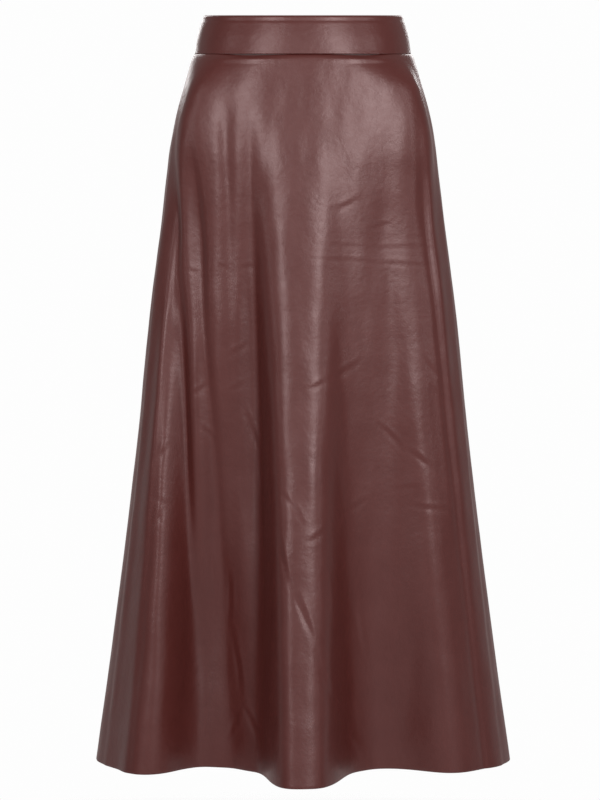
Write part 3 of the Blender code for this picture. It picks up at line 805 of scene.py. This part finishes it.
def band_profile():
    """Rise and distance out of the band's closed profile, from its foot up the outer face.

    The foot is a half round, the face bulges a little, and a soft groove runs under the
    top edge, which rolls over in a half round. The inner face comes straight down.
    """
    foot = SEAM_GAP / 2
    top = BAND_TOP - BAND_SEAM
    foot_angles = np.radians(np.linspace(-90.0, 0.0, FOOT_POINTS))
    foot_rise = foot + BAND_FOOT_ROUND * (1 + np.sin(foot_angles))
    foot_out = BAND_FOOT_ROUND * (np.cos(foot_angles) - 1)
    face_rise = np.linspace(foot + BAND_FOOT_ROUND, top - BAND_ROLL, FACE_POINTS + 1)[1:]
    share = (face_rise - face_rise[0]) / (face_rise[-1] - face_rise[0])
    face_out = BAND_BULGE * 4 * share * (1 - share)
    groove = face_rise - (top - BAND_GROOVE_DROP)
    face_out = face_out - BAND_GROOVE * bell(groove, BAND_GROOVE_WIDTH)
    roll_angles = np.radians(np.linspace(0.0, 180.0, ROLL_POINTS + 2)[1:-1])
    roll_rise = top - BAND_ROLL + BAND_ROLL * np.sin(roll_angles)
    roll_out = face_out[-1] + BAND_ROLL * (np.cos(roll_angles) - 1)
    inner_rise = np.linspace(top - BAND_ROLL, foot, INNER_POINTS)
    thicker = (2 * BAND_ROLL - BAND_WALL) * bell(top - BAND_ROLL - inner_rise, BAND_ROLL_BLEND)
    rise = np.concatenate((foot_rise, face_rise, roll_rise, inner_rise))
    out = np.concatenate((foot_out, face_out, roll_out, -BAND_WALL - thicker))
    return rise, out


def part_at_slider(points, way):
    """Part a back band's edge beside the slider, towards +X or -X."""
    edge = points[:, -1 if way > 0 else 0]
    rise = (edge[:, 2] - (SLIDER_HEIGHT - NOTCH_DROP)) / (NOTCH_DROP / 2)
    edge[:, 0] += way * (NOTCH_HALF - SEAM_GAP / 2) * ease(rise)


def make_bands(finish):
    """The waistband's front and its two back pieces."""
    rise, out = (values[:, np.newaxis] for values in band_profile())
    for side in rows_of(SIDES, SIDE_COLUMNS):
        azimuth = seam_azimuths(side["start"], side["end"], side["band_columns"])
        points = form(azimuth, BAND_SEAM + rise, out) + off_seams(side)
        if side["off_x"]:
            part_at_slider(points, side["off_x"])
        obj = swept_profile(side["band"] + "_cloth", points, finish)
        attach(obj, "skirt")
        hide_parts(side["band"])


def zip_depth(height):
    """How far out of the form the cloth's inside is at the centre back.

    From the band's inner face it goes to the groove of the panels' seam.
    """
    in_band = -BAND_WALL
    in_panel = SEAM_LIP - PANEL_WALL - SEAM_DIP
    return in_band + (in_panel - in_band) * ease((BAND_SEAM - height) / TAPE_BLEND)


def tape_face(height):
    """Outer face of the zip tape at +X, just inside the band and the back panel."""
    height = height[:, np.newaxis]
    above_coil = height - (SLIDER_HEIGHT - SLIDER_LENGTH)
    beside = ease(above_coil / (SLIDER_LENGTH * SLIDER_PARTING))
    near = CLEARANCE / 2 + beside * (SLIDER_WIDTH / 2 + CLEARANCE)
    across = near + (TAPE_WIDTH - near) * np.linspace(0.0, 1.0, TAPE_COLUMNS)
    share = across / of_section("half_width", height)
    power = of_section("back_square", height)
    azimuth = 180.0 - np.degrees(np.arctan2(share, (1 - share ** power) ** (1 / power)))
    points = form(azimuth, height, zip_depth(height) - 2 * CLEARANCE)
    points[..., 1] += CLEARANCE / 2
    return points


def make_tapes(finish):
    """The two tapes of the concealed zip, mirror images of one another."""
    face = tape_face(np.linspace(ZIP_TOP, ZIP_BOTTOM, TAPE_ROWS))
    for node, outer in (("zip_tape_right", face[:, ::-1]),
                        ("zip_tape_left", face * (-1.0, 1.0, 1.0))):
        wall = np.full(outer.shape[:2], TAPE_WALL)
        obj = cloth_shell(node + "_cloth", outer, wall, [finish, finish])
        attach(obj, "skirt")
        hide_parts(node)


def unit(vectors):
    """Rows of vectors, each of length 1."""
    return vectors / np.linalg.norm(vectors, axis=1, keepdims=True)


def make_coil(finish):
    """The closed coil: a wire wound round the zip's line, which follows the centre back.

    Its centre line at turn angle t is (half width * cos t, depth * sin t) across the
    line, one pitch down for each turn, and a ring of points is set round it.
    """
    top = SLIDER_HEIGHT - SLIDER_LENGTH
    turns = int((top - ZIP_BOTTOM) / COIL_PITCH)
    angle = np.linspace(0.0, 2 * np.pi * turns, turns * COIL_STEPS + 1)
    height = top - COIL_PITCH * angle / (2 * np.pi)
    inward = zip_depth(height) - TAPE_WALL - 3 * CLEARANCE - COIL_DEPTH
    centre = form(180.0, height, inward)
    centre[:, 0] += COIL_WIDTH / 2 * np.cos(angle)
    centre[:, 1] += COIL_DEPTH / 2 * np.sin(angle)
    tangent = unit(np.gradient(centre, axis=0))
    side = unit(np.cross(tangent, (0.0, 0.0, 1.0)))
    over = np.cross(side, tangent)
    ring = np.radians(np.arange(COIL_SIDES) * 360.0 / COIL_SIDES)[:, np.newaxis, np.newaxis]
    points = centre + COIL_WIRE * (side * np.cos(ring) + over * np.sin(ring))
    obj = swept_profile("zip_coil", points, finish)
    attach(obj, "skirt")


def finish_metal(finish):
    """Give the slider's and the pull tab's own solids their lacquer."""
    for node in ("zip_slider", "zip_pull"):
        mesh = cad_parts[node].data
        mesh.materials.clear()
        mesh.materials.append(finish)


# ---------------------------------------------------------------- studio

# Camera: level with the skirt's middle
CAMERA_DISTANCE = 2.4
CAMERA_SIDE = -0.00375
CAMERA_HEIGHT = -0.4567
PICTURE_HEIGHT = 1.0         # metres seen at the side seams' plane
SENSOR = 36.0                # millimetres

# The soft boxes, in degrees from the front. All are as far away, and reach as high, as
# each other.
BOX_DISTANCE = 2.8
BOX_TOP = 2.05
BOX_COLUMNS = ("name", "azimuth", "width", "foot", "radiance")
BOXES = (
    ("left_box", -22.0, 0.42, -0.10, 14.5),
    ("right_box", 22.0, 0.58, -0.10, 14.0),
    ("left_side_box", -60.0, 0.40, -0.10, 4.0),
    ("right_side_box", 54.0, 0.50, -0.10, 4.5),
    ("back_left_box", -158.0, 0.42, 0.60, 7.0),
    ("back_right_box", 160.0, 0.48, 0.65, 5.5),
)

# What the room gives round the skirt: degrees from the front, towards +X, and its light
SURROUND = ((-180.0, 0.72), (-158.0, 0.50), (-138.0, 0.46), (-116.0, 0.62), (-92.0, 0.34),
            (-66.0, 0.28), (-42.0, 0.60), (0.0, 0.64), (38.0, 0.72), (56.0, 0.56), (74.0, 0.36),
            (92.0, 0.42), (114.0, 0.66), (136.0, 0.48), (158.0, 0.52), (180.0, 0.72))
SURROUND_LOW, SURROUND_HIGH = 0.06, 0.50     # heights of a direction between which it dims
SURROUND_TOP = 0.62                          # what is left of the light above them
BACK_TINT = np.array((1.0, 0.84, 0.82))      # of the room's light behind the skirt
BACK_TURN = (100.0, 150.0)                   # degrees over which that tint comes in
SEEN_WHITE = (0.985, 0.985, 0.985, 1.0)

# A round floor, white out to the start of its fade and clear at the fade's end
FLOOR_HEIGHT = -1.30
FLOOR_RADIUS = 1.8
FLOOR_FADE = (0.9, 1.75)
FLOOR_POINTS = 96
FLOOR_PALE = (0.9, 0.9, 0.9, 1.0)


def make_camera():
    """Camera level with the skirt's middle, upright picture."""
    camera = bpy.data.cameras.new("camera")
    camera.sensor_width = SENSOR
    camera.lens = SENSOR * CAMERA_DISTANCE / PICTURE_HEIGHT
    obj = placed("camera", camera)
    obj.location = (CAMERA_SIDE, -CAMERA_DISTANCE, CAMERA_HEIGHT)
    obj.rotation_euler = (np.pi / 2, 0.0, 0.0)
    bpy.context.scene.camera = obj


def soft_box(name, azimuth, width, foot, radiance):
    """An upright area light that faces the skirt's axis at its own height."""
    height, middle = BOX_TOP - foot, (BOX_TOP + foot) / 2
    light = bpy.data.lights.new(name, "AREA")
    light.shape = "RECTANGLE"
    light.size = width
    light.size_y = height
    light.energy = radiance * width * height * np.pi
    obj = placed(name, light)
    turn = np.radians(azimuth)
    obj.location = (BOX_DISTANCE * np.sin(turn), -BOX_DISTANCE * np.cos(turn), middle)
    towards = Vector((0.0, 0.0, middle)) - obj.location
    obj.rotation_euler = towards.to_track_quat("-Z", "Y").to_euler()


def surround_stops():
    """Stops of the room's light, once round from behind, tinted behind the skirt."""
    stops = []
    for degrees, grey in SURROUND:
        behind = ease((abs(degrees) - BACK_TURN[0]) / (BACK_TURN[1] - BACK_TURN[0]))
        shade = grey * (1 + (BACK_TINT - 1) * behind)
        stops.append((0.5 + degrees / 360, (*shade, 1.0)))
    return stops


def make_surround():
    """Plain white for the camera, and for light a room that dims between its soft walls."""
    world = bpy.data.worlds.new("studio")
    bpy.context.scene.world = world
    world.use_nodes = True
    room = Nodes(world.node_tree)
    direction = room.node("ShaderNodeSeparateXYZ",
                          room.node("ShaderNodeTexCoord", output="Generated"))
    x, y, z = (direction.output(axis) for axis in "XYZ")
    turn = 0.5 + x.math("ARCTAN2", x, y * -1.0) / (2 * np.pi)
    lit = room.tree.nodes["Background"]
    room.join(lit, {
        "Color": room.ramp(turn, surround_stops()),
        "Strength": room.remap(z, SURROUND_LOW, SURROUND_HIGH, 1.0, SURROUND_TOP),
    })
    plain = room.node("ShaderNodeBackground", SEEN_WHITE)
    seen = room.node("ShaderNodeLightPath", output="Is Camera Ray")
    both = room.node("ShaderNodeMixShader", seen, Value(room, lit.outputs[0]), plain)
    room.join(room.tree.nodes["World Output"], {"Surface": both})


def make_floor():
    """A pale round floor whose rim fades into the white of the room."""
    finish = Finish("pale_floor", Roughness=0.8, Base_Color=FLOOR_PALE)
    flat = finish.node("ShaderNodeVectorMath", finish.place(), (1.0, 1.0, 0.0),
                       settings={"operation": "MULTIPLY"})
    span = finish.node("ShaderNodeVectorMath", flat, output="Value",
                       settings={"operation": "LENGTH"})
    finish.feed(Alpha=finish.remap(span, *FLOOR_FADE, 1.0, 0.0))
    ring = np.radians(np.linspace(0.0, 360.0, FLOOR_POINTS + 1)[:-1])
    points = np.stack((FLOOR_RADIUS * np.cos(ring), FLOOR_RADIUS * np.sin(ring),
                       np.full_like(ring, FLOOR_HEIGHT)), axis=-1)
    floor = mesh_object("floor", points, [list(range(len(ring)))], [finish.material])


def main():
    """Dress the skirt and light it."""
    bpy.context.scene.view_settings.view_transform = "Standard"
    make_camera()
    skin, knit = leather(), backing()
    make_bands(skin)
    make_panels([skin, knit])
    make_tapes(tape_cloth())
    make_coil(coil_plastic())
    finish_metal(lacquered_metal())
    for box in rows_of(BOXES, BOX_COLUMNS):
        soft_box(**box)
    make_surround()
    make_floor()


main()
